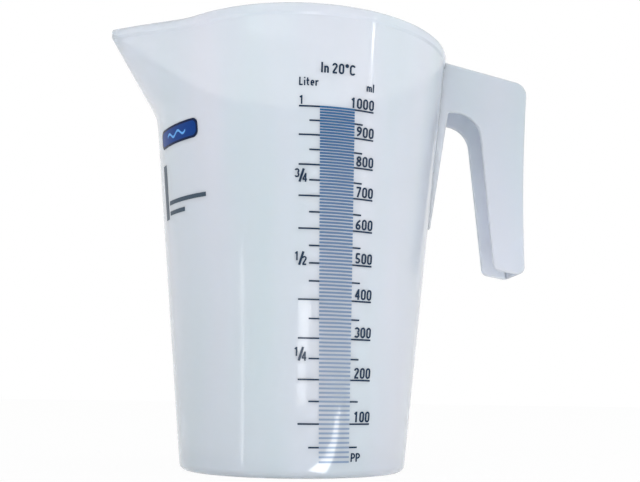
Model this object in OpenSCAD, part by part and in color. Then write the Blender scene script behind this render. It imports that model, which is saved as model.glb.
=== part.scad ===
// Measuring jug: a tapered one-litre vessel moulded in clear polypropylene, with a
// raised pouring spout, an open hook handle and a printed scale.
// The origin is on the vessel's axis at the table. +Z is up, the handle points along
// +X, the spout along -X, and the scale is printed on the -Y side.
// Lengths are millimetres and angles are degrees.

/* [Vessel] */
// Height of the rim above the table
vessel_h = 169.5; // [160:0.5:180]
// Outer radius of the wall, carried down to the table
base_r = 44.3; // [42:0.1:47]
// Outer radius of the wall at the rim
rim_r = 61.7; // [58:0.1:65]
// Thickness of the wall
wall_t = 1.7; // [1.4:0.1:2.2]
// Thickness of the floor above the recess
floor_t = 1.6; // [1.2:0.1:2.4]
// Radius of the outer corner between the wall and the foot
foot_round = 3; // [1.5:0.1:4]
// Radius of the inner corner between the wall and the floor
floor_round = 7; // [5:0.1:9]
// Width of the flat ring that the jug stands on
foot_w = 3; // [2:0.1:6]
// Depth of the recess inside the foot ring
recess_d = 0.5; // [0.3:0.1:0.8]
// Radius of the gate mark in the middle of the recess
gate_r = 2.5; // [1.5:0.1:4]
// Height of the gate mark
gate_h = 0.2; // [0.1:0.05:0.25]

/* [Rim] */
// Distance that the rim bead stands out from the wall
bead_out = 0.5; // [0.3:0.1:0.9]
// Height of the rim bead
bead_h = 3.8; // [2.5:0.1:5]

/* [Spout] */
// Distance that the spout's tip stands out past the rim, without the bead
spout_out = 17.1; // [14:0.1:20]
// Distance from the rim down to where the spout's ridge leaves the wall
spout_root_drop = 27.5; // [24:0.5:31]
// Height above the rim at which the ridge reaches the tip
spout_tip_lift = 6; // [4:0.1:8]
// Length over which the spout's edge rises, from the tip inwards
spout_run = 33.5; // [30:0.1:38]
// Height of the spout's edge above the rim, at the tip
spout_rise = 10; // [8:0.1:12]
// Outer radius of the spout's tip, seen from above
spout_tip_r = 4; // [3.5:0.1:5]

/* [Handle] */
// Distance from the rim down to the handle's top, at the wall
handle_top_drop = 1.2; // [0.5:0.1:3.5]
// Drop of the handle's top from the wall to its corner
handle_fall = 8.2; // [7:0.1:10]
// Height of the handle from its lower end to its top
handle_h = 89.5; // [84:0.5:94]
// Height of the handle's root from its underside to its top
root_h = 21.5; // [20:0.1:24]
// Gap between the wall and the cheeks, under the root
finger_gap = 15.6; // [14:0.1:18]
// Depth of the cheeks from their inner edge to the handle's back, under the root
cheek_depth = 21.3; // [19:0.1:23]
// Depth of the cheeks at the lower end
cheek_low_depth = 13; // [11:0.1:15]
// Distance that the handle's lower end is drawn in towards the vessel
handle_tuck = 2.4; // [0:0.1:4]
// Rise of the lower end from the web to the cheeks' inner edge
cheek_low_rise = 2.2; // [0:0.1:4]
// Radius of the handle's upper corner
handle_corner_r = 6; // [4:0.1:8]
// Radius of the bend between the root's underside and the cheeks' inner edge
cheek_bend_r = 11; // [6:0.1:12]
// Radius of the cheeks' lower corners
cheek_corner_r = 3; // [2:0.1:4]
// Width of the handle over both cheeks, at the rim
handle_w = 23; // [21:0.1:26]
// Width of the handle over both cheeks, at the lower end
handle_low_w = 20; // [18:0.1:21]
// Thickness of each cheek
cheek_t = 2; // [1.6:0.1:2.4]
// Thickness of the web along the handle's back
web_t = 2.2; // [1.8:0.1:2.6]
// Height of the ribs that run down the wall under the root
rib_h = 50; // [42:0.5:56]
// Distance that the ribs stand out from the wall under the root
rib_out = 2.8; // [1.5:0.1:3.2]

/* [Scale] */
// Distance from the rim down to the top mark, which one litre reaches at these sizes
top_mark_drop = 37.75; // [30:0.05:42]
// Thickness of the printed ink
ink_t = 0.12; // [0.08:0.01:0.2]
// Distance round the wall from the middle of the print to the middle of the scale
scale_mid = 18; // [14:0.5:20]
// Length of a ten-millilitre line at the top of the scale
line_len = 13.2; // [12:0.1:14]
// Length of a ten-millilitre line at the bottom of the scale
line_low_len = 11.4; // [10:0.1:12]
// Width of the ink in a ten-millilitre line
line_w = 0.7; // [0.3:0.05:0.8]
// Width of the ink in a tick
tick_w = 0.6; // [0.4:0.05:0.7]
// Length of the left ticks at the hundreds
long_tick = 7.6; // [6:0.1:8]
// Length of the left ticks at the fifties
short_tick = 3.8; // [3:0.1:4.5]
// Length of the right ticks at the fifties
right_tick = 3.3; // [2.5:0.1:4]
// Height of the numerals
digit_h = 3.8; // [3:0.1:4]
// Gap between the lines and the numerals
digit_gap = 0.8; // [0.4:0.1:1.5]
// Height of the fraction numerals
fraction_h = 3.2; // [2.4:0.1:3.6]
// Height of the unit marks
unit_h = 3; // [2.6:0.1:3.6]
// Height of the temperature mark
degree_h = 3.8; // [3:0.1:4.5]
// Height of the material mark
material_h = 3; // [2.4:0.1:3.2]

/* [Label] */
// Distance from the rim down to the middle of the label
label_drop = 42; // [38:0.5:48]
// Width of the label round the wall
label_w = 28; // [24:0.5:34]
// Height of the label
label_h = 7.4; // [6.5:0.1:9]
// Width of the label's dark edge
label_edge = 0.9; // [0.6:0.1:1.2]
// Height of the wave's crests over its middle line
wave_h = 0.9; // [0.5:0.1:1.1]
// Width of the wave's line
wave_w = 0.9; // [0.6:0.1:1.2]
// Length of one wave
wave_len = 7; // [5:0.5:9]
// Height of the bar beside the rules
bar_h = 21.5; // [18:0.5:24]
// Width of the bar
bar_w = 3.6; // [2.5:0.1:4]
// Gap between the label and the bar
bar_gap = 6.4; // [4:0.1:7.5]
// Height of one rule
rule_h = 1.6; // [1:0.1:2]
// Distance between the rules
rule_pitch = 4; // [3:0.1:4.4]
// Length of the longer rule
rule_len = 25; // [16:0.5:28]

/* [Hidden] */

$fn = 180;
hull_fn = 32;
arc_steps = 6;
overrun = 1;

// Slope of the wall and the thickness that a level cut through it shows
wall_slope = (rim_r - base_r) / vessel_h;
wall_lean = atan(wall_slope);
wall_cut = wall_t / cos(wall_lean);
floor_z = recess_d + floor_t;
function wall_r(z) = base_r + wall_slope * z;
function inner_r(z) = wall_r(z) - wall_cut;
function arc_pts(x, y, r, a0, a1, steps = arc_steps) =
    [for (i = [0:steps]) let (a = a0 + (a1 - a0) * i / steps) [x + r * cos(a), y + r * sin(a)]];

// Middles of the corner arcs, each one radius away from the two lines that it joins
foot_x = wall_r(foot_round) - foot_round / cos(wall_lean);
floor_x = inner_r(floor_z + floor_round) - floor_round / cos(wall_lean);
foot_in_x = foot_x - foot_w;
recess_round = recess_d;

// Above the tallest point of the jug, and wider than the jug
top_z = vessel_h + spout_rise + spout_tip_r;
slab = 4 * rim_r;

module spun(points) {
    rotate_extrude() polygon(points);
}

// Solid outline of the vessel without its hollow, open-ended above the rim
module vessel_outside() {
    spun(concat(
        [[0, recess_d - gate_h], [gate_r, recess_d - gate_h], [gate_r, recess_d],
         [foot_in_x - recess_round, recess_d], [foot_in_x, 0]],
        arc_pts(foot_x, foot_round, foot_round, -90, -wall_lean),
        [[wall_r(top_z), top_z], [0, top_z]]
    ));
}

module vessel_hollow() {
    spun(concat(
        [[0, floor_z]],
        arc_pts(floor_x, floor_z + floor_round, floor_round, -90, -wall_lean),
        [[inner_r(top_z + overrun), top_z + overrun], [0, top_z + overrun]]
    ));
}

// Spout: from a lower arc of the wall and the rim out to the tip
spout_reach = rim_r + spout_out;
spout_root_z = vessel_h - spout_root_drop;
spout_tip_z = vessel_h + spout_tip_lift;
spout_rise_x = spout_reach - spout_run;
ridge_slope = (spout_reach - wall_r(spout_root_z)) / (spout_tip_z - spout_root_z);
ridge_lean = atan(ridge_slope);
ridge_cut = wall_t / cos(ridge_lean);
inner_root_z = spout_root_z + (ridge_cut - wall_cut) / (ridge_slope - wall_slope);
inner_tip_z = spout_tip_z + (ridge_cut - wall_t) / ridge_slope;
edge_lean = atan(spout_rise / spout_run);
tip_x = spout_reach - spout_tip_r;
// The form starts this far under the wall's face, so the two cross cleanly
spout_tuck = wall_t / 8;

module spout_form(root_z, tip_z, skin, top) {
    hull() {
        intersection() {
            translate([0, 0, root_z]) cylinder(
                r1 = wall_r(root_z) - skin - spout_tuck,
                r2 = wall_r(top) - skin - spout_tuck,
                h = top - root_z, $fn = 4 * hull_fn);
            translate([-slab, -slab / 2, 0]) cube([slab - spout_rise_x / 2, slab, slab]);
        }
        translate([-tip_x, 0, tip_z])
            cylinder(r = spout_tip_r - min(skin, wall_t), h = top - tip_z, $fn = hull_fn);
    }
}

// The space above the rim, and above the rising edge where the spout is
module above_rim(drop) {
    translate([-spout_rise_x, -slab / 2, vessel_h - drop]) cube([slab, slab, slab]);
    translate([-spout_rise_x, 0, vessel_h - drop]) rotate([0, edge_lean, 0])
        translate([-slab, -slab / 2, 0]) cube([slab, slab, slab]);
}

module rim_bead() {
    difference() {
        union() {
            translate([0, 0, vessel_h / 2]) cylinder(
                r1 = wall_r(vessel_h / 2) + bead_out, r2 = wall_r(top_z) + bead_out,
                h = top_z - vessel_h / 2);
            spout_form(spout_root_z, spout_tip_z, -bead_out, top_z);
        }
        difference() {
            translate([-slab / 2, -slab / 2, 0]) cube([slab, slab, slab]);
            above_rim(bead_h);
        }
    }
}

module vessel() {
    color("lightsteelblue", 0.5) difference() {
        union() {
            vessel_outside();
            spout_form(spout_root_z, spout_tip_z, 0, top_z);
            rim_bead();
        }
        vessel_hollow();
        spout_form(inner_root_z, inner_tip_z, wall_cut, top_z + overrun);
        above_rim(0);
    }
}

// Outline with each corner [x, y, r] rounded to its radius
function unit(v) = v / norm(v);
function short_turn(a) = a - 360 * round(a / 360);
function corner_pts(before, here, after) =
    let (
        p = [here[0], here[1]],
        u = unit([before[0], before[1]] - p),
        v = unit([after[0], after[1]] - p),
        half = acos(u * v) / 2,
        mid = p + unit(u + v) * here[2] / sin(half),
        from = p + u * here[2] / tan(half) - mid,
        to = p + v * here[2] / tan(half) - mid,
        a0 = atan2(from[1], from[0]),
        turn = short_turn(atan2(to[1], to[0]) - a0)
    )
    arc_pts(mid[0], mid[1], here[2], a0, a0 + turn);
function rounded(points) = [
    for (i = [0:len(points) - 1])
        let (n = len(points), here = points[i])
        each (here[2] == 0 ? [[here[0], here[1]]]
            : corner_pts(points[(i + n - 1) % n], here, points[(i + 1) % n]))
];

// Handle: seen from the side in x and z, and from the back in y and z
handle_top_z = vessel_h - handle_top_drop;
handle_low_z = handle_top_z - handle_h;
handle_under_z = handle_top_z - root_h;
rib_low_z = handle_under_z - rib_h;
cheek_edge_x = wall_r(handle_under_z) + finger_gap;
handle_reach = cheek_edge_x + cheek_depth;
handle_low_reach = handle_reach - handle_tuck;
cheek_low_x = handle_low_reach - cheek_low_depth;
top_fall = handle_fall / (handle_reach - wall_r(handle_top_z));
top_lean = atan(top_fall);
corner_z = handle_top_z - handle_fall;
handle_rise = corner_z - handle_low_z;
// The back is drawn in by this much between its corner and its lower end
back_draw = web_t / 2;
back_shares = [0.85, 0.7, 0.55, 0.4, 0.25, 0.12];
function back_x(share) =
    handle_low_reach + (handle_reach - handle_low_reach) * share - back_draw * 4 * share * (1 - share);
// Inside the wall's thickness at every height, so that the vessel trims the root
root_x = inner_r(0);

module from_side(points, w) {
    rotate([90, 0, 0]) translate([0, 0, -w / 2]) linear_extrude(w) polygon(points);
}

module handle_side() {
    from_side(rounded(concat(
        [[root_x, handle_top_z + top_fall * (wall_r(handle_top_z) - root_x), 0],
         [handle_reach, corner_z, handle_corner_r]],
        [for (s = back_shares) [back_x(s), handle_low_z + s * handle_rise, 0]],
        [[handle_low_reach, handle_low_z, cheek_corner_r],
         [cheek_low_x, handle_low_z + cheek_low_rise, cheek_corner_r],
         [cheek_edge_x, handle_under_z, cheek_bend_r],
         [wall_r(handle_under_z) + rib_out, handle_under_z, 0],
         [wall_r(rib_low_z), rib_low_z, 0],
         [root_x, rib_low_z, 0]]
    )), handle_w);
}

module channel_side() {
    top_cut = web_t / cos(top_lean);
    from_side(rounded(concat(
        [[root_x - overrun, handle_top_z + top_fall * (wall_r(handle_top_z) - root_x + overrun) - top_cut, 0],
         [handle_reach - web_t, corner_z - top_cut + top_fall * web_t, handle_corner_r - web_t]],
        [for (s = back_shares) [back_x(s) - web_t, handle_low_z + s * handle_rise, 0]],
        [[handle_low_reach - web_t, handle_low_z - overrun, 0],
         [root_x - overrun, handle_low_z - overrun, 0]]
    )), handle_w);
}

// Half width of the handle at a height, less a skin
function half_w(z, skin) =
    (handle_low_w + (handle_w - handle_low_w) * (z - handle_low_z) / (vessel_h - handle_low_z)) / 2 - skin;

module handle_front(skin) {
    low = handle_low_z - handle_w;
    high = vessel_h + handle_w;
    rotate([90, 0, 90]) linear_extrude(handle_reach + overrun) polygon([
        [-half_w(low, skin), low], [half_w(low, skin), low],
        [half_w(high, skin), high], [-half_w(high, skin), high]
    ]);
}

module handle() {
    color("lightsteelblue", 0.5) difference() {
        intersection() {
            handle_side();
            handle_front(0);
        }
        intersection() {
            channel_side();
            handle_front(cheek_t);
        }
        vessel_outside();
        translate([0, 0, vessel_h - bead_h]) cylinder(
            r1 = wall_r(vessel_h - bead_h) + bead_out, r2 = wall_r(vessel_h) + bead_out, h = bead_h);
    }
}

// Print: places are measured round the wall from a middle line, to the right as read
print_angle = 7.7;
label_angle = 59;
function print_a(s, z, angle = print_angle) = -90 - angle + s / wall_r(z) * 180 / PI;

// Height to which a share of the top mark's volume fills the vessel. Both terms are
// volumes times three slopes over pi, which leaves differences of cubed radii.
floor_in_r = inner_r(floor_z);
top_mark_z = vessel_h - top_mark_drop;
top_cubes = pow(inner_r(top_mark_z), 3) - pow(floor_in_r, 3);
corner_cubes = (1 - PI / 4) * pow(floor_round, 2) * 2 * PI * floor_x * 3 * wall_slope / PI;
function fill_z(share) = floor_z
    + (pow(share * top_cubes + (1 - share) * corner_cubes + pow(floor_in_r, 3), 1 / 3) - floor_in_r)
    / wall_slope;
// One line for each hundredth part, from the second to the last
line_shares = [for (i = [2:100]) i / 100];
// Ticks stand at every twentieth part, and the numerals at every tenth
tick_parts = [for (i = [1:20]) i];
half_share = 1 / 2;

function line_half(z) =
    (line_low_len + (line_len - line_low_len) * (z - floor_z) / (top_mark_z - floor_z)) / 2;

// Strip of ink round the wall from s0 to s1, at a height
module strip(z, w, s0, s1, angle = print_angle) {
    low = z - w / 2;
    high = z + w / 2;
    a0 = print_a(s0, z, angle);
    rotate([0, 0, a0]) rotate_extrude(angle = print_a(s1, z, angle) - a0) polygon([
        [wall_r(low), low], [wall_r(low) + ink_t, low],
        [wall_r(high) + ink_t, high], [wall_r(high), high]
    ]);
}

// Skin of ink all over the wall, which gives a mark its curve
module ink_skin() {
    spun([
        [wall_r(foot_round), foot_round], [wall_r(foot_round) + ink_t, foot_round],
        [wall_r(vessel_h) + ink_t, vessel_h], [wall_r(vessel_h), vessel_h]
    ]);
}

// A flat drawing pressed on to the wall: its x runs round the wall and its y is up
module on_wall(a, z, reach) {
    rotate([0, 0, a]) translate([wall_r(z) - reach, 0, z]) rotate([90, 0, 90])
        linear_extrude(2 * reach) children();
}

// Marks, drawn by their strokes' middle lines as shares of a mark's height:
// [x0, y0, x1, y1] is a straight stroke and [x, y, r, from, to] an arc
stroke_share = 0.18;
gap_share = 0.14;
marks = "0123456789/lLmPCoIniter";
width_shares = [0.52, 0.52, 0.52, 0.52, 0.52, 0.52, 0.52, 0.52, 0.52, 0.52,
    0.34, 0.15, 0.44, 0.72, 0.56, 0.56, 0.3, 0.15, 0.44, 0.15, 0.36, 0.45, 0.34];
mark_shares = [
    [[0.26, 0.74, 0.185, 0, 180], [0.26, 0.26, 0.185, 180, 360],
     [0.075, 0.26, 0.075, 0.74], [0.445, 0.26, 0.445, 0.74]],
    [[0.3, 0, 0.3, 1], [0.32, 0.94, 0.1, 0.76]],
    [[0.26, 0.74, 0.185, 180, -35], [0.412, 0.634, 0.1, 0.12], [0.04, 0.075, 0.48, 0.075]],
    [[0.25, 0.72, 0.205, 155, -75], [0.25, 0.285, 0.21, 75, -155]],
    [[0.37, 0, 0.37, 1], [0.02, 0.3, 0.52, 0.3], [0.37, 0.93, 0.07, 0.32]],
    [[0.1, 0.925, 0.47, 0.925], [0.13, 0.96, 0.09, 0.46], [0.235, 0.29, 0.21, 135, -155]],
    [[0.26, 0.265, 0.19, 0, 180], [0.26, 0.265, 0.19, 180, 360], [0.72, 0.28, 0.65, 180, 113]],
    [[0.02, 0.925, 0.5, 0.925], [0.45, 0.93, 0.17, 0]],
    [[0.26, 0.735, 0.17, 0, 180], [0.26, 0.735, 0.17, 180, 360],
     [0.26, 0.275, 0.2, 0, 180], [0.26, 0.275, 0.2, 180, 360]],
    [[0.26, 0.735, 0.19, 0, 180], [0.26, 0.735, 0.19, 180, 360], [-0.2, 0.72, 0.65, 0, -67]],
    [[0.02, 0, 0.32, 1]],
    [[0.075, 0, 0.075, 1]],
    [[0.075, 0, 0.075, 1], [0, 0.075, 0.44, 0.075]],
    [[0.075, 0, 0.075, 0.66], [0.36, 0, 0.36, 0.45], [0.645, 0, 0.645, 0.45],
     [0.2175, 0.45, 0.1425, 0, 180], [0.5025, 0.45, 0.1425, 0, 180]],
    [[0.075, 0, 0.075, 1], [0.05, 0.925, 0.28, 0.925], [0.05, 0.44, 0.28, 0.44],
     [0.26, 0.6825, 0.2425, -90, 90]],
    [[0.3, 0.7, 0.225, 25, 180], [0.075, 0.7, 0.075, 0.3], [0.3, 0.3, 0.225, 180, 335]],
    [[0.15, 0.84, 0.1, 0, 180], [0.15, 0.84, 0.1, 180, 360]],
    [[0.075, 0, 0.075, 1]],
    [[0.075, 0, 0.075, 0.66], [0.36, 0, 0.36, 0.45], [0.2175, 0.45, 0.1425, 0, 180]],
    [[0.075, 0, 0.075, 0.66], [0.075, 0.84, 0.075, 1]],
    [[0.14, 0.2, 0.14, 0.95], [0, 0.62, 0.34, 0.62], [0.26, 0.21, 0.12, 180, 290]],
    [[0.225, 0.45, 0.15, 0, 180], [0.075, 0.22, 0.075, 0.45], [0.225, 0.22, 0.15, 180, 320],
     [0.375, 0.26, 0.375, 0.45], [0.075, 0.34, 0.375, 0.34]],
    [[0.075, 0, 0.075, 0.66], [0.26, 0.4, 0.185, 60, 180]]
];

module stroke(p, w) {
    if (len(p) == 5)
        polygon(concat(
            arc_pts(p[0], p[1], p[2] + w / 2, p[3], p[4]),
            arc_pts(p[0], p[1], p[2] - w / 2, p[4], p[3])));
    else {
        a = [p[0], p[1]];
        b = [p[2], p[3]];
        side = unit([a[1] - b[1], b[0] - a[0]]) * w / 2;
        polygon([a + side, b + side, b - side, a - side]);
    }
}

module mark(i, h) {
    for (p = mark_shares[i])
        stroke(len(p) == 5 ? [p[0] * h, p[1] * h, p[2] * h, p[3], p[4]] : p * h, stroke_share * h);
}

// Width of the first n marks of a word, with the gaps after them
function run_w(word, n, h) =
    n == 0 ? 0 : run_w(word, n - 1, h) + (width_shares[search(word[n - 1], marks)[0]] + gap_share) * h;
function word_w(word, h) = run_w(word, len(word), h) - gap_share * h;

// A word of marks on the wall, its lower left corner at s and z
module word_on_wall(word, s, z, h) {
    for (n = [0:len(word) - 1]) {
        i = search(word[n], marks)[0];
        w = width_shares[i] * h;
        on_wall(print_a(s + run_w(word, n, h) + w / 2, z), z, h) translate([-w / 2, 0]) mark(i, h);
    }
}

digit_stand = tick_w / 2 + line_w / 2;
digit_right = scale_mid + line_len / 2 + digit_gap + word_w("900", digit_h);
left_end = scale_mid - line_len / 2 - long_tick;
ink = "#3c5678";
dark_ink = "#24384f";

module ten_ml_lines() {
    color(ink) for (share = line_shares) {
        z = fill_z(share);
        strip(z, line_w, scale_mid - line_half(z), scale_mid + line_half(z));
    }
}

module left_ticks() {
    color(dark_ink) for (i = tick_parts) {
        z = fill_z(i / len(tick_parts));
        long = i % 2 == 0 && i != len(tick_parts) * half_share;
        end = scale_mid - line_half(z);
        strip(z, tick_w, end - (long ? long_tick : short_tick), end);
    }
}

module right_ticks() {
    color(dark_ink) for (i = tick_parts) {
        z = fill_z(i / len(tick_parts));
        end = scale_mid + line_half(z);
        strip(z, tick_w, end, i % 2 == 0 ? digit_right : end + right_tick);
    }
}

module ml_numerals() {
    color(dark_ink) intersection() {
        ink_skin();
        for (i = tick_parts) if (i % 2 == 0) {
            word = str(i / 2 * 100);
            z = fill_z(i / len(tick_parts)) + digit_stand;
            word_on_wall(word, digit_right - word_w(word, digit_h), z, digit_h);
        }
    }
}

// A fraction with its upper number raised, ending at s
module fraction(upper, lower, s, z) {
    slash_s = s - word_w(lower, fraction_h) - word_w("/", fraction_h);
    word_on_wall(lower, s - word_w(lower, fraction_h), z, fraction_h);
    word_on_wall("/", slash_s, z, fraction_h * 3 / 2);
    word_on_wall(upper, slash_s - word_w(upper, fraction_h), z + fraction_h * half_share, fraction_h);
}

module fraction_numerals() {
    color(dark_ink) intersection() {
        ink_skin();
        union() {
            word_on_wall("1", left_end, top_mark_z + digit_stand, fraction_h);
            for (quarter = [["1", "4", 1 / 4], ["1", "2", 2 / 4], ["3", "4", 3 / 4]]) {
                z = fill_z(quarter[2]);
                fraction(quarter[0], quarter[1],
                    scale_mid - line_half(z) - short_tick - digit_gap, z - fraction_h / 4);
            }
        }
    }
}

module unit_marks() {
    z = top_mark_z + digit_stand + digit_h + unit_h;
    color(dark_ink) intersection() {
        ink_skin();
        union() {
            word_on_wall("Liter", left_end, z, unit_h);
            word_on_wall("ml", digit_right - word_w("ml", unit_h), z, unit_h);
        }
    }
}

module temperature_mark() {
    z = top_mark_z + digit_stand + digit_h + unit_h * 8 / 3;
    s = scale_mid - word_w("20", degree_h) / 2;
    color(dark_ink) intersection() {
        ink_skin();
        union() {
            word_on_wall("In", s - word_w("In", degree_h) - degree_h / 3, z, degree_h);
            word_on_wall("20oC", s, z, degree_h);
        }
    }
}

module material_mark() {
    z = fill_z(line_shares[0]);
    color(dark_ink) intersection() {
        ink_skin();
        word_on_wall("PP", scale_mid + line_low_len / 2 + digit_gap, z, material_h);
    }
}

// Label: a plain framed panel with a wave, and plain rules beside a bar
label_round = label_h / 3;
wave_steps = 12;
label_z = vessel_h - label_drop;
label_a = print_a(0, label_z, label_angle);
label_reach = label_w / 4;
bar_z = label_z - label_h / 2 - bar_gap - bar_h / 2;
bar_s = -(label_w - bar_w) / 2;

module panel_2d(edge) {
    w = label_w / 2 - edge;
    h = label_h / 2 - edge;
    r = label_round - edge / 2;
    polygon(rounded([[-w, -h, r], [w, -h, r], [w, h, r], [-w, h, r]]));
}

module wave_2d() {
    count = floor((label_w - 2 * label_edge) / wave_len) - 1;
    xs = [for (i = [0:count * wave_steps]) (i / wave_steps - count / 2) * wave_len];
    crest = [for (x = xs) [x, wave_h * sin(360 * x / wave_len) + wave_w / 2]];
    trough = [for (i = [len(xs) - 1:-1:0])
        [xs[i], wave_h * sin(360 * xs[i] / wave_len) - wave_w / 2]];
    polygon(concat(crest, trough));
}

module label_frame() {
    color("#1f3a66") intersection() {
        ink_skin();
        on_wall(label_a, label_z, label_reach) difference() {
            panel_2d(0);
            panel_2d(label_edge);
        }
    }
}

module label_field() {
    color("#2f6db5") intersection() {
        ink_skin();
        on_wall(label_a, label_z, label_reach) difference() {
            panel_2d(label_edge);
            wave_2d();
        }
    }
}

module label_wave() {
    color("white") intersection() {
        ink_skin();
        on_wall(label_a, label_z, label_reach) wave_2d();
    }
}

module label_bar() {
    color("#6b7580") strip(bar_z, bar_h, bar_s - bar_w / 2, bar_s + bar_w / 2, label_angle);
}

module label_rules() {
    start = bar_s + bar_w;
    low = bar_z - bar_h / 2 + rule_pitch / 2;
    color("#4a5663") {
        strip(low + rule_pitch, rule_h, start, start + rule_len, label_angle);
        strip(low, rule_h, start, start + rule_len * half_share, label_angle);
    }
}

vessel();
handle();
ten_ml_lines();
left_ticks();
right_ticks();
ml_numerals();
fraction_numerals();
unit_marks();
temperature_mark();
material_mark();
label_frame();
label_field();
label_wave();
label_bar();
label_rules();
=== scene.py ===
"""Measuring jug in clear polypropylene: the looks of its moulding and of its printed scale.
Lengths are metres in the part's own frame, and MM turns millimetres into them."""

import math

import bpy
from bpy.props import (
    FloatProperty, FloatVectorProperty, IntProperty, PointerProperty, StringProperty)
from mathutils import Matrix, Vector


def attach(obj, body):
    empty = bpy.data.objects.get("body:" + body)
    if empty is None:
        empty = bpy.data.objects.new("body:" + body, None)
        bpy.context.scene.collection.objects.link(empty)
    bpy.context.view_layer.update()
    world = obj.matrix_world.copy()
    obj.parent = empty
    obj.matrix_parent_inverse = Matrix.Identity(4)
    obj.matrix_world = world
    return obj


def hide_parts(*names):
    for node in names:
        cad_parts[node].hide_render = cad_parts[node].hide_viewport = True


bl_info = {
    "name": "Measuring Jug",
    "version": (1, 0, 0),
    "blender": (4, 5, 0),
    "location": "View3D > Sidebar > Jug",
    "description": "Builds the moulding, the print and the stage of a measuring jug",
    "category": "Mesh",
}

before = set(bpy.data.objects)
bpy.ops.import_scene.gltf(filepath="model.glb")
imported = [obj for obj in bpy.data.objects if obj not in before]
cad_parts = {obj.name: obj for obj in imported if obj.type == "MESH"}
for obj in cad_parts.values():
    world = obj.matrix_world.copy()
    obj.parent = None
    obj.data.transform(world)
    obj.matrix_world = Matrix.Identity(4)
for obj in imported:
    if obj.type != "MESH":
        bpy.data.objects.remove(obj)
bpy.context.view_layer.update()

MM = 0.001
BODY = "root"


def length(label, note, value):
    """A size in millimetres that a user may change."""
    return FloatProperty(name=label, description=note, default=value * MM, min=0, unit="LENGTH")


def colour(label, note, value):
    """A colour as an sRGB hex value."""
    return StringProperty(name=label, description=note, default=value)


class JugVesselSizes(bpy.types.PropertyGroup):
    height: length("Height", "Height of the rim above the table", 169.5)
    base_r: length("Base radius", "Outer radius of the wall, carried down to the table", 44.3)
    rim_r: length("Rim radius", "Outer radius of the wall at the rim", 61.7)
    wall_t: length("Wall", "Thickness of the wall", 1.7)
    floor_t: length("Floor", "Thickness of the floor above the recess", 1.6)
    foot_round: length("Foot rounding", "Radius between the wall and the foot", 3)
    floor_round: length("Floor rounding", "Radius between the wall and the floor, inside", 7)
    foot_w: length("Foot ring", "Width of the flat ring that the jug stands on", 3)
    recess_d: length("Recess", "Depth of the recess inside the foot ring", 0.5)
    gate_r: length("Gate radius", "Radius of the gate mark under the floor", 2.5)
    gate_h: length("Gate height", "Height of the gate mark", 0.2)
    bead_out: length("Bead", "Distance that the rim bead stands out from the wall", 0.5)
    bead_h: length("Bead height", "Height of the rim bead", 3.8)
    bead_round: length("Bead rounding", "Radius of the rim's upper edges", 0.8)
    seat: length("Print seat", "Depth of the moulded wall under the back of the print", 0.03)
    columns: IntProperty(name="Columns", description="Faces round the wall", default=288, min=48)


class JugSpoutSizes(bpy.types.PropertyGroup):
    out: length("Reach", "Distance that the tip stands out past the rim", 17.1)
    root_drop: length("Root", "Distance from the rim down to where the ridge leaves the wall", 27.5)
    tip_lift: length("Tip", "Height above the rim at which the ridge reaches the tip", 6)
    run: length("Run", "Length over which the edge rises, from the tip inwards", 33.5)
    rise: length("Rise", "Height of the edge above the rim, at the tip", 10)
    tip_r: length("Tip radius", "Outer radius of the tip, seen from above", 4)
    root_blend: length("Root blend", "Half the height of the turn from the wall into the ridge", 2)
    edge_blend: length("Edge blend", "Half the length of the turn from the rim into the rise", 3)


class JugHandleSizes(bpy.types.PropertyGroup):
    top_drop: length("Top", "Distance from the rim down to the handle's top, at the wall", 1.2)
    fall: length("Fall", "Drop of the top from the wall to the corner", 8.2)
    height: length("Height", "Height from the lower end to the top", 89.5)
    root_h: length("Root", "Height of the root from its underside to its top", 21.5)
    gap: length("Finger gap", "Gap between the wall and the cheeks, under the root", 15.6)
    depth: length("Depth", "Depth of the cheeks under the root", 21.3)
    low_depth: length("Lower depth", "Depth of the cheeks at the lower end", 13)
    tuck: length("Tuck", "Distance that the lower end is drawn in towards the vessel", 2.4)
    low_rise: length("Lower rise", "Rise of the lower end, from the web to the cheeks", 2.2)
    corner_r: length("Corner radius", "Radius of the upper corner", 6)
    bend_r: length("Bend radius", "Radius between the root's underside and the cheeks", 11)
    low_r: length("Lower radius", "Radius of the cheeks' lower corners", 3)
    width: length("Width", "Width over both cheeks, at the rim", 23)
    low_width: length("Lower width", "Width over both cheeks, at the lower end", 20)
    cheek_t: length("Cheek", "Thickness of each cheek", 2)
    web_t: length("Web", "Thickness of the web along the back", 2.2)
    rib_h: length("Rib height", "Height of the ribs that run down the wall under the root", 50)
    rib_out: length("Rib", "Distance that the ribs stand out under the root", 2.8)
    edge_round: length("Edge rounding", "Radius of the handle's edges", 0.7)


class JugColours(bpy.types.PropertyGroup):
    plastic: colour("Plastic", "Milky polypropylene, as one wall tints the light", "#E7EDF5")
    scale_ink: colour("Scale ink", "Lines of the scale", "#295A88")
    numeral_ink: colour("Numeral ink", "Numerals and ticks", "#152C44")
    label_navy: colour("Label edge", "Edge of the label", "#051C40")
    label_blue: colour("Label", "Field of the label", "#00377F")
    label_wave: colour("Label wave", "Wave across the label", "#5FA3E6")
    label_grey: colour("Label grey", "Bar and rules under the label", "#42505E")
    floor: colour("Floor", "Floor and backdrop", "#F4F4F4")


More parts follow.
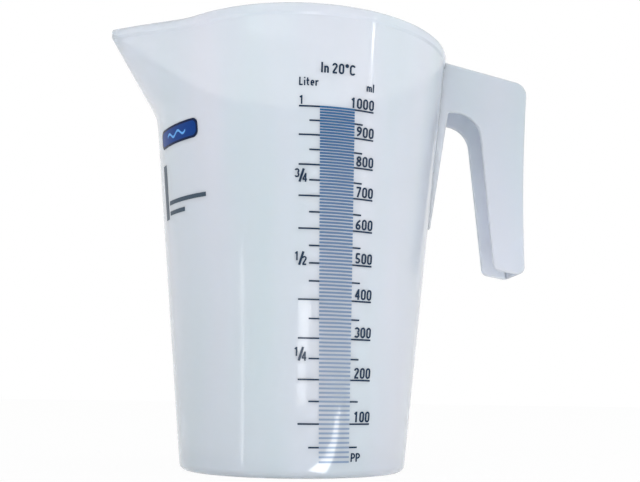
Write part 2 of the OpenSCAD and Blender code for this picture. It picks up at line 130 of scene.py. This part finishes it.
class JugStage(bpy.types.PropertyGroup):
    eye: FloatVectorProperty(
        name="Camera", description="Place of the camera", subtype="TRANSLATION",
        default=(-0.026249, -0.375383, 0.0294))
    forward: FloatVectorProperty(
        name="Forward", description="Direction that the camera looks in", subtype="DIRECTION",
        default=(0.0945368, 0.9818022, 0.1647033))
    up: FloatVectorProperty(
        name="Up", description="Direction of the picture's upper side", subtype="DIRECTION",
        default=(-0.0296825, -0.1625909, 0.9862470))
    lens: FloatProperty(
        name="Lens", description="Focal length for a sensor 36 mm wide", default=51.8, min=1,
        unit="CAMERA")
    ambient: FloatProperty(
        name="Ambient", description="Strength of the room's light on matte surfaces",
        default=0.83, min=0)
    floor_size: FloatProperty(
        name="Floor", description="Side of the square floor", default=6.0, min=0.5, unit="LENGTH")


def sizes():
    """The three groups of sizes: vessel, spout and handle."""
    scene = bpy.context.scene
    return scene.jug_vessel, scene.jug_spout, scene.jug_handle


# Small helpers for outlines

# Steps in the arc of each rounded corner
ARC_STEPS = 8


def arc_points(mid, start, end):
    """Points on an arc round mid from start to end, by the shorter way."""
    a = start - mid
    b = end - mid
    a0 = math.atan2(a.y, a.x)
    turn = (math.atan2(b.y, b.x) - a0 + math.pi) % (2 * math.pi) - math.pi
    angles = [a0 + turn * i / ARC_STEPS for i in range(ARC_STEPS + 1)]
    return [mid + a.length * Vector((math.cos(angle), math.sin(angle))) for angle in angles]


def corner_points(before, here, after, radius):
    """The arc that rounds one corner of an outline."""
    u = (before - here).normalized()
    v = (after - here).normalized()
    half = u.angle(v) / 2
    mid = here + (u + v).normalized() * radius / math.sin(half)
    reach = radius / math.tan(half)
    return arc_points(mid, here + u * reach, here + v * reach)


def rounded(corners, closed=True):
    """An outline with each corner (x, y, radius) rounded; radius 0 keeps it sharp."""
    count = len(corners)
    points = []
    for i, (x, y, radius) in enumerate(corners):
        here = Vector((x, y))
        inner = closed or 0 < i < count - 1
        if radius > 0 and inner:
            before = Vector(corners[i - 1][:2])
            after = Vector(corners[(i + 1) % count][:2])
            points += corner_points(before, here, after, radius)
        else:
            points.append(here)
    return points


def filled(points, longest):
    """The same open outline, with points added so that no step is longer than longest(z)."""
    result = [points[0]]
    for a, b in zip(points, points[1:]):
        count = max(1, math.ceil((b - a).length / longest((a.y + b.y) / 2)))
        result += [a.lerp(b, i / count) for i in range(1, count + 1)]
    return result


# Small helpers for modelling

# Points nearer to each other than this, in metres, become one
MERGE_DISTANCE = 1e-7
# Faces that meet at less than this angle, in degrees, are shaded as one surface
SMOOTH_ANGLE = 35


def deselect():
    if bpy.context.object and bpy.context.object.mode != "OBJECT":
        bpy.ops.object.mode_set(mode="OBJECT")
    bpy.ops.object.select_all(action="DESELECT")


def pick(obj):
    deselect()
    obj.select_set(True)
    bpy.context.view_layer.objects.active = obj


def draw_in_xz(name, points):
    """A new mesh whose edges follow points (x, z), extruded one after the other from a corner."""
    deselect()
    bpy.ops.mesh.primitive_plane_add(size=MM, location=(0, 0, 0))
    obj = bpy.context.object
    obj.name = name
    bpy.ops.object.mode_set(mode="EDIT")
    bpy.ops.mesh.select_mode(type="VERT")
    bpy.ops.mesh.select_all(action="SELECT")
    bpy.ops.mesh.merge(type="CENTER")
    bpy.ops.transform.translate(value=(points[0].x, 0, points[0].y))
    here = points[0]
    for point in points[1:]:
        step = point - here
        bpy.ops.mesh.extrude_region_move(TRANSFORM_OT_translate={"value": (step.x, 0, step.y)})
        here = point
    return obj


def tidy_mesh():
    """In edit mode: doubles merged and every face turned outwards."""
    bpy.ops.mesh.select_all(action="SELECT")
    bpy.ops.mesh.remove_doubles(threshold=MERGE_DISTANCE)
    bpy.ops.mesh.normals_make_consistent(inside=False)


def lathe(name, points, columns):
    """A closed solid of revolution from a profile (radius, z) that starts and ends on the axis."""
    obj = draw_in_xz(name, points)
    bpy.ops.mesh.select_all(action="SELECT")
    bpy.ops.mesh.spin(steps=columns, angle=2 * math.pi, center=(0, 0, 0), axis=(0, 0, 1))
    tidy_mesh()
    bpy.ops.object.mode_set(mode="OBJECT")
    return obj


def slab(name, points, width):
    """A closed outline (x, z) filled and extruded, its middle on the y axis's zero."""
    obj = draw_in_xz(name, points)
    bpy.ops.mesh.select_all(action="SELECT")
    bpy.ops.mesh.edge_face_add()
    bpy.ops.transform.translate(value=(0, -width / 2, 0))
    bpy.ops.mesh.extrude_region_move(TRANSFORM_OT_translate={"value": (0, width, 0)})
    tidy_mesh()
    bpy.ops.object.mode_set(mode="OBJECT")
    return obj


def apply_modifier(obj, kind, **settings):
    pick(obj)
    bpy.ops.object.modifier_add(type=kind)
    modifier = obj.modifiers[-1]
    for key, value in settings.items():
        setattr(modifier, key, value)
    bpy.ops.object.modifier_apply(modifier=modifier.name)


def cut(obj, cutter):
    apply_modifier(obj, "BOOLEAN", operation="DIFFERENCE", solver="EXACT", object=cutter)
    bpy.data.objects.remove(cutter)


def finish_piece(obj, material, nodes):
    """Smooth shading, the material, the frame's body, and the nodes that the piece stands in for
    hidden.
    """
    pick(obj)
    bpy.ops.object.shade_smooth_by_angle(angle=math.radians(SMOOTH_ANGLE))
    obj.data.materials.clear()
    obj.data.materials.append(material)
    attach(obj, BODY)
    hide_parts(*nodes)


# Materials

def linear(hex_value):
    """An sRGB hex value as a linear colour with alpha."""
    channels = [int(hex_value[i:i + 2], 16) / 255 for i in (1, 3, 5)]
    return (*[c / 12.92 if c <= 0.04045 else ((c + 0.055) / 1.055) ** 2.4 for c in channels], 1)


def shaded(base, factors, lift=0):
    """A linear colour with each channel times its factor, plus lift, up to 1."""
    return [min(1, channel * factor + lift) for channel, factor in zip(base, factors)] + [1]


def add_node(tree, kind, settings=None, inputs=None):
    """One node with its settings; an input is a value, or a socket that is linked to it."""
    node = tree.nodes.new(kind)
    for key, value in (settings or {}).items():
        setattr(node, key, value)
    for key, value in (inputs or {}).items():
        if isinstance(value, bpy.types.NodeSocket):
            tree.links.new(value, node.inputs[key])
        else:
            node.inputs[key].default_value = value
    return node


def new_material(name):
    material = bpy.data.materials.new(name)
    material.use_nodes = True
    material.node_tree.nodes.clear()
    return material, material.node_tree


def per_mm(size):
    """Scale of a texture whose features are size millimetres wide, on Object coordinates."""
    return 1 / (size * MM)


# How the haze tints the moulding's red, green and blue, where it is dense and where it is thin
DENSE_HAZE = (0.95, 0.99, 0.97)
THIN_HAZE = (1.03, 1, 1.03)


def clear_polypropylene():
    """Injection-moulded random-copolymer polypropylene: milky but see-through, because part of
    the light scatters inside the wall, with a skin between satin and gloss from the mould."""
    material, tree = new_material("moulded_clear_polypropylene")
    tint = linear(bpy.context.scene.jug_colours.plastic)
    place = add_node(tree, "ShaderNodeTexCoord").outputs["Object"]
    # The melt flows up the wall from the gate, and leaves faint upright bands of haze
    upright = add_node(tree, "ShaderNodeMapping", inputs={"Vector": place, "Scale": (1, 1, 0.15)})
    flow = add_node(tree, "ShaderNodeTexNoise", inputs={
        "Vector": upright.outputs[0], "Scale": per_mm(26), "Detail": 2.0, "Roughness": 0.5})
    bands = add_node(tree, "ShaderNodeMapRange", inputs={
        "Value": flow.outputs["Fac"], "From Min": 0.3, "From Max": 0.7})
    haze = add_node(tree, "ShaderNodeMixRGB", inputs={
        "Fac": bands.outputs["Result"],
        "Color1": shaded(tint, DENSE_HAZE), "Color2": shaded(tint, THIN_HAZE)})
    # Polish of the mould, drawn 1.5 mm wide because the real grain is too fine to show
    polish = add_node(tree, "ShaderNodeTexNoise", inputs={
        "Vector": place, "Scale": per_mm(1.5), "Detail": 3.0, "Roughness": 0.6})
    rough = add_node(tree, "ShaderNodeMapRange", inputs={
        "Value": polish.outputs["Fac"], "To Min": 0.04, "To Max": 0.09})
    bump = add_node(tree, "ShaderNodeBump", inputs={
        "Height": polish.outputs["Fac"], "Strength": 0.06, "Distance": 0.05 * MM})
    surface = add_node(tree, "ShaderNodeBsdfPrincipled", inputs={
        "Base Color": haze.outputs["Color"], "Roughness": rough.outputs["Result"],
        "Normal": bump.outputs["Normal"], "IOR": 1.49, "Transmission Weight": 0.4,
        "Subsurface Weight": 1.0, "Subsurface Radius": (1, 1, 1), "Subsurface Scale": 2 * MM})
    # The longer the way through the plastic, the greyer it looks, as along its edges
    depth = add_node(tree, "ShaderNodeVolumeAbsorption", inputs={
        "Color": (0.8, 0.85, 0.91, 1), "Density": 90.0})
    add_node(tree, "ShaderNodeOutputMaterial", inputs={
        "Surface": surface.outputs["BSDF"], "Volume": depth.outputs["Volume"]})
    return material


# How the ink's density tints it, where the screen leaves more of it and where it leaves less
THICK_INK = (0.88, 0.88, 0.88)
THIN_INK = (1.16, 1.16, 1.16)
THIN_INK_LIFT = 0.004
# How dark the wall looks through a thin film, and the heights between which the film thickens
WALL_THROUGH_INK = (0.75, 0.75, 0.75)
THIN_FILM_Z = 30 * MM
FULL_FILM_Z = 125 * MM


def printed_ink(name, hex_value, specular, thin):
    """Screen-printed solvent ink: an opaque satin film whose density varies a little with the
    mesh of the screen; thin is the share of the wall that shows through its lower end."""
    material, tree = new_material(name)
    base = linear(hex_value)
    place = add_node(tree, "ShaderNodeTexCoord").outputs["Object"]
    # Mesh of the screen, drawn 0.6 mm wide because the real threads are too fine to show
    mesh = add_node(tree, "ShaderNodeTexNoise", inputs={
        "Vector": place, "Scale": per_mm(0.6), "Detail": 2.0, "Roughness": 0.5})
    density = add_node(tree, "ShaderNodeMixRGB", inputs={
        "Fac": mesh.outputs["Fac"], "Color1": shaded(base, THICK_INK),
        "Color2": shaded(base, THIN_INK, THIN_INK_LIFT)})
    if thin:
        # The wall is narrower towards the foot, and the squeegee leaves a thinner film there
        wall = linear(bpy.context.scene.jug_colours.plastic)
        height = add_node(tree, "ShaderNodeSeparateXYZ", inputs={"Vector": place}).outputs["Z"]
        film = add_node(tree, "ShaderNodeMapRange", inputs={
            "Value": height, "From Min": THIN_FILM_Z, "From Max": FULL_FILM_Z,
            "To Min": thin, "To Max": 0.0})
        density = add_node(tree, "ShaderNodeMixRGB", inputs={
            "Fac": film.outputs["Result"], "Color1": density.outputs["Color"],
            "Color2": shaded(wall, WALL_THROUGH_INK)})
    bump = add_node(tree, "ShaderNodeBump", inputs={
        "Height": mesh.outputs["Fac"], "Strength": 0.15, "Distance": 0.02 * MM})
    surface = add_node(tree, "ShaderNodeBsdfPrincipled", inputs={
        "Base Color": density.outputs["Color"], "Normal": bump.outputs["Normal"],
        "Roughness": 0.2, "Specular IOR Level": specular})
    add_node(tree, "ShaderNodeOutputMaterial", inputs={"Surface": surface.outputs["BSDF"]})
    return material


# Vessel

# Columns of faces draw together to this share of their spacing at the spout's ridge, where the
# curve is tight, and are evenly spaced past this angle from it
CLOSEST_COLUMNS = 0.25
EVEN_COLUMNS_FROM = math.radians(75)
# Longest steps of the profile under the spout, and from there up
WALL_STEP = 6 * MM
SPOUT_STEP = 1.5 * MM
# Distance under the spout's root, in root blends, at which the fine steps end
FINE_STEPS_UNDER_ROOT = 4
# The turn from the ridge into the tip, as a share of the one at the root
TIP_BLEND = 0.25
# Distances from the rim, in bead heights, at which the edge starts to lift and lifts in full
LIFT_FROM = 5
LIFT_IN_FULL = 1.5
# Rounds in which a point's height and reach settle, because each depends on the other
LIFT_ROUNDS = 4


def wall_slope(vessel):
    return (vessel.rim_r - vessel.base_r) / vessel.height


def wall_r(vessel, z):
    """Outer radius of the moulded wall at a height, under the print."""
    return vessel.base_r - vessel.seat + wall_slope(vessel) * z


def vessel_profile(vessel):
    """The wall's cross-section (radius, z), from the axis under the floor to the axis above it."""
    top = vessel.height
    wall_cut = (vessel.wall_t - vessel.seat) / math.cos(math.atan(wall_slope(vessel)))
    floor_z = vessel.recess_d + vessel.floor_t
    bead_z = top - vessel.bead_h
    bead_r = vessel.bead_out + vessel.seat
    foot_in = vessel.base_r - vessel.foot_round - vessel.foot_w
    small = vessel.gate_h / 2
    return rounded([
        (0, vessel.recess_d - vessel.gate_h, 0),
        (vessel.gate_r, vessel.recess_d - vessel.gate_h, small),
        (vessel.gate_r, vessel.recess_d, small / 2),
        (foot_in, vessel.recess_d, vessel.recess_d / 2),
        (foot_in, 0, vessel.recess_d / 3),
        (wall_r(vessel, 0), 0, vessel.foot_round),
        (wall_r(vessel, bead_z), bead_z - vessel.bead_out, vessel.bead_out),
        (wall_r(vessel, bead_z) + bead_r, bead_z + vessel.bead_out, vessel.bead_out),
        (wall_r(vessel, top) + bead_r, top, vessel.bead_round),
        (wall_r(vessel, top) - wall_cut, top, vessel.bead_round),
        (wall_r(vessel, floor_z) - wall_cut, floor_z, vessel.floor_round),
        (0, floor_z, 0),
    ], closed=False)


def soft_ramp(u, blend):
    """u where it is positive and 0 below, with a soft turn between -blend and blend."""
    if u <= -blend:
        return 0.0
    if u >= blend:
        return u
    return (u + blend) ** 2 / (4 * blend)


def soft_step(u):
    """0 at 0 and 1 at 1, with a soft start and end."""
    return u * u * (3 - 2 * u)


def crowded(angle):
    """The angle from the ridge to which a column of faces at this angle is drawn."""
    share = soft_step(min(1.0, abs(angle) / EVEN_COLUMNS_FROM))
    return angle * (CLOSEST_COLUMNS + (1 - CLOSEST_COLUMNS) * share)


def section_r(vessel, spout, angle, z, proud):
    """Distance from the axis to the vessel's section at a height, at an angle from the ridge.
    The section is the wall's circle drawn out by straight sides to a smaller circle that moves
    to the tip; proud is how far the surface stands out from the wall's outer face."""
    root_z = vessel.height - spout.root_drop
    span = spout.root_drop + spout.tip_lift
    tip_x = vessel.rim_r + spout.out - spout.tip_r
    blend = spout.root_blend / span
    t = soft_ramp((z - root_z) / span, blend)
    t = 1 - soft_ramp(1 - t, blend * TIP_BLEND)
    wall = wall_r(vessel, z) + proud
    if t <= 0:
        return wall
    small = (1 - t) * min(wall_r(vessel, root_z), wall_r(vessel, z)) + t * spout.tip_r + proud
    centre = t * tip_x
    if centre <= wall - small:
        return wall
    tangent = math.acos((wall - small) / centre)
    if angle >= tangent:
        return wall
    small_end = math.atan2(small * math.sin(tangent), centre + small * math.cos(tangent))
    if angle > small_end:
        return wall / math.cos(angle - tangent)
    aside = centre * math.sin(angle)
    return centre * math.cos(angle) + math.sqrt(max(0, small ** 2 - aside ** 2))


def pull_spout(obj, vessel, spout):
    """Draws the spout out of the spun wall and lifts its edge."""
    rise_x = vessel.rim_r + spout.out - spout.run
    lift_from = vessel.height - LIFT_FROM * vessel.bead_h
    lift_to = vessel.height - LIFT_IN_FULL * vessel.bead_h
    plain_to = lift_from / 2
    for vertex in obj.data.vertices:
        x, y, z = vertex.co
        r = math.hypot(x, y)
        if r < vessel.gate_r:
            continue
        angle = crowded(math.atan2(y, -x))
        proud = r - wall_r(vessel, z)
        share = soft_step(min(1.0, max(0.0, (z - lift_from) / (lift_to - lift_from))))
        lifted = z
        for _ in range(LIFT_ROUNDS):
            out = section_r(vessel, spout, abs(angle), lifted, proud) if z > plain_to else r
            past = soft_ramp(out * math.cos(angle) - rise_x, spout.edge_blend)
            lifted = z + share * spout.rise * past / spout.run
        vertex.co = (-out * math.cos(angle), out * math.sin(angle), lifted)


class JUG_OT_vessel(bpy.types.Operator):
    """Lathe the tapered vessel with its true wall, then draw the pouring spout out of it"""
    bl_idname = "jug.vessel"
    bl_label = "Vessel"

    def execute(self, context):
        vessel, spout, _ = sizes()
        fine_z = vessel.height - spout.root_drop - FINE_STEPS_UNDER_ROOT * spout.root_blend
        points = filled(vessel_profile(vessel), lambda z: SPOUT_STEP if z > fine_z else WALL_STEP)
        obj = lathe("vessel_wall", points, vessel.columns)
        pull_spout(obj, vessel, spout)
        finish_piece(obj, clear_polypropylene(), ["vessel"])
        return {"FINISHED"}


# Handle

# Distance by which the channel's cutter passes through the faces that it opens
CUT_OVERRUN = 4 * MM
# Heights of the points down the back, as shares of the way from its lower end to its corner
BACK_SHARES = [0.85, 0.7, 0.55, 0.4, 0.25, 0.12]
# Rounding of the edges: faces across it, and the least angle, in degrees, that gets one
EDGE_FACES = 3
EDGE_ANGLE = 40


def handle_places(vessel, handle):
    """Places that both the handle's outline and its channel use."""
    top_z = vessel.height - handle.top_drop
    under_z = top_z - handle.root_h
    edge_x = wall_r(vessel, under_z) + vessel.seat + handle.gap
    reach = edge_x + handle.depth
    wall_x = wall_r(vessel, top_z)
    return {
        "top_z": top_z, "under_z": under_z, "low_z": top_z - handle.height,
        "corner_z": top_z - handle.fall, "edge_x": edge_x, "reach": reach,
        "low_reach": reach - handle.tuck, "wall_x": wall_x,
        "fall": handle.fall / (reach - wall_x),
        "root_x": vessel.base_r - vessel.wall_t,
    }


def back_points(p, handle, inset):
    """Points down the back, which is drawn in by half its web between its corner and its end."""
    drawn_in = handle.web_t / 2
    points = []
    for share in BACK_SHARES:
        x = p["low_reach"] + (p["reach"] - p["low_reach"]) * share
        x -= drawn_in * 4 * share * (1 - share)
        points.append((x - inset, p["low_z"] + share * (p["corner_z"] - p["low_z"]), 0))
    return points


def handle_outline(vessel, handle):
    """The outline (x, z) of the cheeks, the top and the ribs, seen from the side."""
    p = handle_places(vessel, handle)
    low_x = p["low_reach"] - handle.low_depth
    rib_z = p["under_z"] - handle.rib_h
    return rounded([
        (p["root_x"], p["top_z"] + p["fall"] * (p["wall_x"] - p["root_x"]), 0),
        (p["reach"], p["corner_z"], handle.corner_r),
        *back_points(p, handle, 0),
        (p["low_reach"], p["low_z"], handle.low_r),
        (low_x, p["low_z"] + handle.low_rise, handle.low_r),
        (p["edge_x"], p["under_z"], handle.bend_r),
        (wall_r(vessel, p["under_z"]) + handle.rib_out, p["under_z"], handle.rib_out / 2),
        (wall_r(vessel, rib_z), rib_z, 0),
        (p["root_x"], rib_z, 0),
    ])


def channel_outline(vessel, handle):
    """The outline (x, z) of the hollow between the cheeks, past the faces that it opens."""
    p = handle_places(vessel, handle)
    web_cut = handle.web_t / math.cos(math.atan(p["fall"]))
    root = p["root_x"] - CUT_OVERRUN
    back = p["reach"] - handle.web_t
    return rounded([
        (root, p["top_z"] + p["fall"] * (p["wall_x"] - root) - web_cut, 0),
        (back, p["corner_z"] - web_cut + p["fall"] * handle.web_t, handle.corner_r - handle.web_t),
        *back_points(p, handle, handle.web_t),
        (p["low_reach"] - handle.web_t, p["low_z"] - CUT_OVERRUN, 0),
        (root, p["low_z"] - CUT_OVERRUN, 0),
    ])


def set_width(obj, vessel, handle, inset):
    """Gives the slab its taper: wider at the rim than at the lower end."""
    low_z = vessel.height - handle.top_drop - handle.height
    for vertex in obj.data.vertices:
        share = (vertex.co.z - low_z) / (vessel.height - low_z)
        width = handle.low_width + (handle.width - handle.low_width) * share
        vertex.co.y = math.copysign(width / 2 - inset, vertex.co.y)


def vessel_form(vessel):
    """The solid form of the vessel with its bead, a little higher, which the handle stands on."""
    top = vessel.height + vessel.bead_h
    bead_z = vessel.height - vessel.bead_h
    bead_r = wall_r(vessel, bead_z) + vessel.bead_out + vessel.seat
    return lathe("vessel_form", [Vector(point) for point in (
        (0, 0), (wall_r(vessel, 0), 0), (wall_r(vessel, bead_z), bead_z), (bead_r, bead_z),
        (bead_r + wall_slope(vessel) * (top - bead_z), top), (0, top))], vessel.columns)


class JUG_OT_handle(bpy.types.Operator):
    """Model the open hook handle: top, back web, two cheeks and the ribs under its root"""
    bl_idname = "jug.handle"
    bl_label = "Handle"

    def execute(self, context):
        vessel, _, handle = sizes()
        obj = slab("hook_handle", handle_outline(vessel, handle), handle.width)
        set_width(obj, vessel, handle, 0)
        channel = slab("channel", channel_outline(vessel, handle), handle.width)
        set_width(channel, vessel, handle, handle.cheek_t)
        cut(obj, channel)
        apply_modifier(
            obj, "BEVEL", width=handle.edge_round, segments=EDGE_FACES, limit_method="ANGLE",
            angle_limit=math.radians(EDGE_ANGLE), use_clamp_overlap=True)
        cut(obj, vessel_form(vessel))
        plastic = bpy.data.materials["moulded_clear_polypropylene"]
        finish_piece(obj, plastic, ["handle"])
        return {"FINISHED"}


# Print

# Inks: colour, specular level (the label's inks are duller than the scale's), share of the
# wall that shows through the thin end of the film, and nodes
INKS = {
    "screen_ink_scale": ("scale_ink", 0.35, 0.33, ["ten_ml_lines"]),
    "screen_ink_numerals": ("numeral_ink", 0.35, 0, [
        "left_ticks", "right_ticks", "ml_numerals", "fraction_numerals", "unit_marks",
        "temperature_mark", "material_mark"]),
    "screen_ink_navy": ("label_navy", 0.08, 0, ["label_frame"]),
    "screen_ink_blue": ("label_blue", 0.08, 0, ["label_field"]),
    "screen_ink_light": ("label_wave", 0.08, 0, ["label_wave"]),
    "screen_ink_grey": ("label_grey", 0.08, 0, ["label_bar", "label_rules"]),
}


class JUG_OT_print(bpy.types.Operator):
    """Give each printed group of the frame its ink"""
    bl_idname = "jug.print"
    bl_label = "Print"

    def execute(self, context):
        for name, (slot, specular, thin, nodes) in INKS.items():
            material = printed_ink(name, getattr(context.scene.jug_colours, slot), specular, thin)
            for node in nodes:
                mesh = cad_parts[node].data
                mesh.materials.clear()
                mesh.materials.append(material)
        return {"FINISHED"}


# Stage

# Share of plain white in what the viewer sees of the floor
WHITE_SHARE = 0.94
# Height above the floor of the lamps that stand in for the table's reflections
TABLE_LAMP_Z = 1 * MM
# Width of the camera's sensor, in its own unit of millimetres, and nearest distance that it shows
SENSOR_WIDTH = 36
NEAREST = 10 * MM


def shown_to_viewer(tree):
    """1 for rays from the camera, a reflection or a refraction, and 0 for all others."""
    path = add_node(tree, "ShaderNodeLightPath").outputs
    either = add_node(tree, "ShaderNodeMath", {"operation": "MAXIMUM"}, {
        0: path["Is Camera Ray"], 1: path["Is Glossy Ray"]})
    return add_node(tree, "ShaderNodeMath", {"operation": "MAXIMUM"}, {
        0: either.outputs[0], 1: path["Is Transmission Ray"]}).outputs[0]


def floor_paint():
    """Matte paper sweep: near white to the viewer, and it keeps the soft shadow of the jug."""
    material, tree = new_material("matte_paper_sweep")
    colour_value = linear(bpy.context.scene.jug_colours.floor)
    place = add_node(tree, "ShaderNodeTexCoord").outputs["Object"]
    # Tooth of the paper, drawn 2 mm wide because the real fibres are too fine to show
    grain = add_node(tree, "ShaderNodeTexNoise", inputs={
        "Vector": place, "Scale": per_mm(2), "Detail": 2.0})
    bump = add_node(tree, "ShaderNodeBump", inputs={
        "Height": grain.outputs["Fac"], "Strength": 0.05, "Distance": 0.1 * MM})
    paper = add_node(tree, "ShaderNodeBsdfDiffuse", inputs={
        "Color": colour_value, "Normal": bump.outputs["Normal"]})
    white = add_node(tree, "ShaderNodeEmission", inputs={"Color": (1, 1, 1, 1), "Strength": 1.0})
    share = add_node(tree, "ShaderNodeMath", {"operation": "MULTIPLY"}, {
        0: shown_to_viewer(tree), 1: WHITE_SHARE})
    mix = add_node(tree, "ShaderNodeMixShader", inputs={
        0: share.outputs[0], 1: paper.outputs[0], 2: white.outputs[0]})
    add_node(tree, "ShaderNodeOutputMaterial", inputs={"Surface": mix.outputs[0]})
    return material


def light_room(stage):
    """A white room: plain light on matte surfaces, and a white view behind the jug."""
    world = bpy.data.worlds.new("white_room")
    bpy.context.scene.world = world
    world.use_nodes = True
    tree = world.node_tree
    tree.nodes.clear()
    grey = (stage.ambient, stage.ambient, stage.ambient, 1)
    seen = add_node(tree, "ShaderNodeMixRGB", inputs={
        "Fac": shown_to_viewer(tree), "Color1": grey, "Color2": (1, 1, 1, 1)})
    room = add_node(tree, "ShaderNodeBackground", inputs={
        "Color": seen.outputs[0], "Strength": 1.0})
    add_node(tree, "ShaderNodeOutputWorld", inputs={"Surface": room.outputs[0]})


# Lamps: name, place, target, width, height, power in watts, and what they do: light the
# surfaces, show as a reflection, or both
LAMPS = [
    ("table_bounce", (0.07, -0.2, 0.012), (0.02, -0.04, 0.045), 0.45, 0.03, 0.16, True, False),
    ("front_softbox", (-0.5, -1.1, 0.8), (0, 0, 0.09), 0.9, 0.9, 2.8),
    ("side_softbox", (1.2, -0.3, 0.9), (0, 0, 0.09), 0.7, 0.9, 2.0),
    ("strip_high", (0.77, -0.64, 0.345), (0, 0, 0.155), 0.02, 0.05, 0.045, False),
    ("strip_low", (0.77, -0.64, 0.2), (0, 0, 0.12), 0.012, 0.24, 0.06, False),
]

# Reflections of the table, as lamps that lie on it and face up: name, start, end, width and
# power in watts
TABLE_LAMPS = [
    ("right_glint", (0.0062, -0.0472), (0.085, -0.131), 0.0075, 0.03),
    ("front_far", (0.033, -0.47), (0.046, -0.64), 0.1, 0.24),
    ("front_middle", (0.013, -0.3), (0.033, -0.47), 0.055, 0.12),
    ("front_near", (0.006, -0.16), (0.013, -0.3), 0.025, 0.033),
    ("left_horizon", (-0.584, -0.496), (-1.9, -1.6), 0.08, 1.2),
    ("left_far", (-0.2, -0.18), (-0.584, -0.496), 0.022, 0.06),
    ("left_middle", (-0.08, -0.085), (-0.2, -0.18), 0.007, 0.009),
    ("left_near", (-0.034, -0.049), (-0.08, -0.085), 0.0022, 0.0016),
]


def add_lamp(name, width, height, power, diffuse=True, glossy=True):
    """A rectangular lamp that lights surfaces (diffuse), shows in reflections (glossy), or both."""
    deselect()
    bpy.ops.object.light_add(type="AREA")
    lamp = bpy.context.object
    lamp.name = name
    lamp.data.shape = "RECTANGLE"
    lamp.data.size = width
    lamp.data.size_y = height
    lamp.data.energy = power
    lamp.visible_diffuse = diffuse
    lamp.visible_glossy = glossy
    lamp.visible_transmission = glossy
    return lamp


def add_aimed_lamp(name, place, target, width, height, power, diffuse=True, glossy=True):
    """A lamp at place that faces target."""
    lamp = add_lamp(name, width, height, power, diffuse, glossy)
    lamp.location = place
    lamp.rotation_euler = (Vector(target) - Vector(place)).to_track_quat("-Z", "Y").to_euler()


def add_table_lamp(name, start, end, width, power):
    """A lamp that lies on the floor from start to end, faces up and only shows as a reflection."""
    line = Vector(end) - Vector(start)
    lamp = add_lamp(name, width, line.length, power, False)
    lamp.location = (*((Vector(start) + Vector(end)) / 2), TABLE_LAMP_Z)
    lamp.rotation_euler = (math.pi, 0, math.atan2(line.y, line.x) - math.pi / 2)


class JUG_OT_stage(bpy.types.Operator):
    """Set up the pale floor, the soft studio light and the camera"""
    bl_idname = "jug.stage"
    bl_label = "Stage"

    def execute(self, context):
        stage = context.scene.jug_stage
        deselect()
        bpy.ops.mesh.primitive_plane_add(size=stage.floor_size, location=(0, 0, 0))
        floor = context.object
        floor.name = "paper_floor"
        floor.data.materials.append(floor_paint())
        light_room(stage)
        for lamp in LAMPS:
            add_aimed_lamp(*lamp)
        for lamp in TABLE_LAMPS:
            add_table_lamp(*lamp)
        deselect()
        bpy.ops.object.camera_add(location=stage.eye)
        camera = context.object
        camera.name = "photo_camera"
        camera.data.sensor_width = SENSOR_WIDTH
        camera.data.lens = stage.lens
        camera.data.clip_start = NEAREST
        forward = Vector(stage.forward).normalized()
        up = Vector(stage.up).normalized()
        right = forward.cross(up)
        turn = Matrix((right, right.cross(forward), -forward)).transposed()
        camera.matrix_world = Matrix.Translation(Vector(stage.eye)) @ turn.to_4x4()
        context.scene.camera = camera
        context.scene.view_settings.view_transform = "Standard"
        return {"FINISHED"}


class JUG_PT_panel(bpy.types.Panel):
    """Lists the jug's operators and sizes"""
    bl_idname = "JUG_PT_panel"
    bl_label = "Measuring Jug"
    bl_space_type = "VIEW_3D"
    bl_region_type = "UI"
    bl_category = "Jug"

    def draw(self, context):
        layout = self.layout
        for operator in OPERATORS:
            layout.operator(operator.bl_idname)
        for name in GROUPS:
            box = layout.box()
            box.label(text=name.replace("jug_", "").capitalize())
            group = getattr(context.scene, name)
            for key in type(group).__annotations__:
                box.prop(group, key)


GROUPS = {
    "jug_vessel": JugVesselSizes,
    "jug_spout": JugSpoutSizes,
    "jug_handle": JugHandleSizes,
    "jug_colours": JugColours,
    "jug_stage": JugStage,
}
OPERATORS = (JUG_OT_vessel, JUG_OT_handle, JUG_OT_print, JUG_OT_stage)
CLASSES = (*GROUPS.values(), *OPERATORS, JUG_PT_panel)


def register():
    for cls in CLASSES:
        bpy.utils.register_class(cls)
    for name, cls in GROUPS.items():
        setattr(bpy.types.Scene, name, PointerProperty(type=cls))


def unregister():
    for name in GROUPS:
        delattr(bpy.types.Scene, name)
    for cls in reversed(CLASSES):
        bpy.utils.unregister_class(cls)


def main():
    register()
    bpy.ops.jug.vessel()
    bpy.ops.jug.handle()
    bpy.ops.jug.print()
    bpy.ops.jug.stage()


if __name__ == "__main__":
    main()
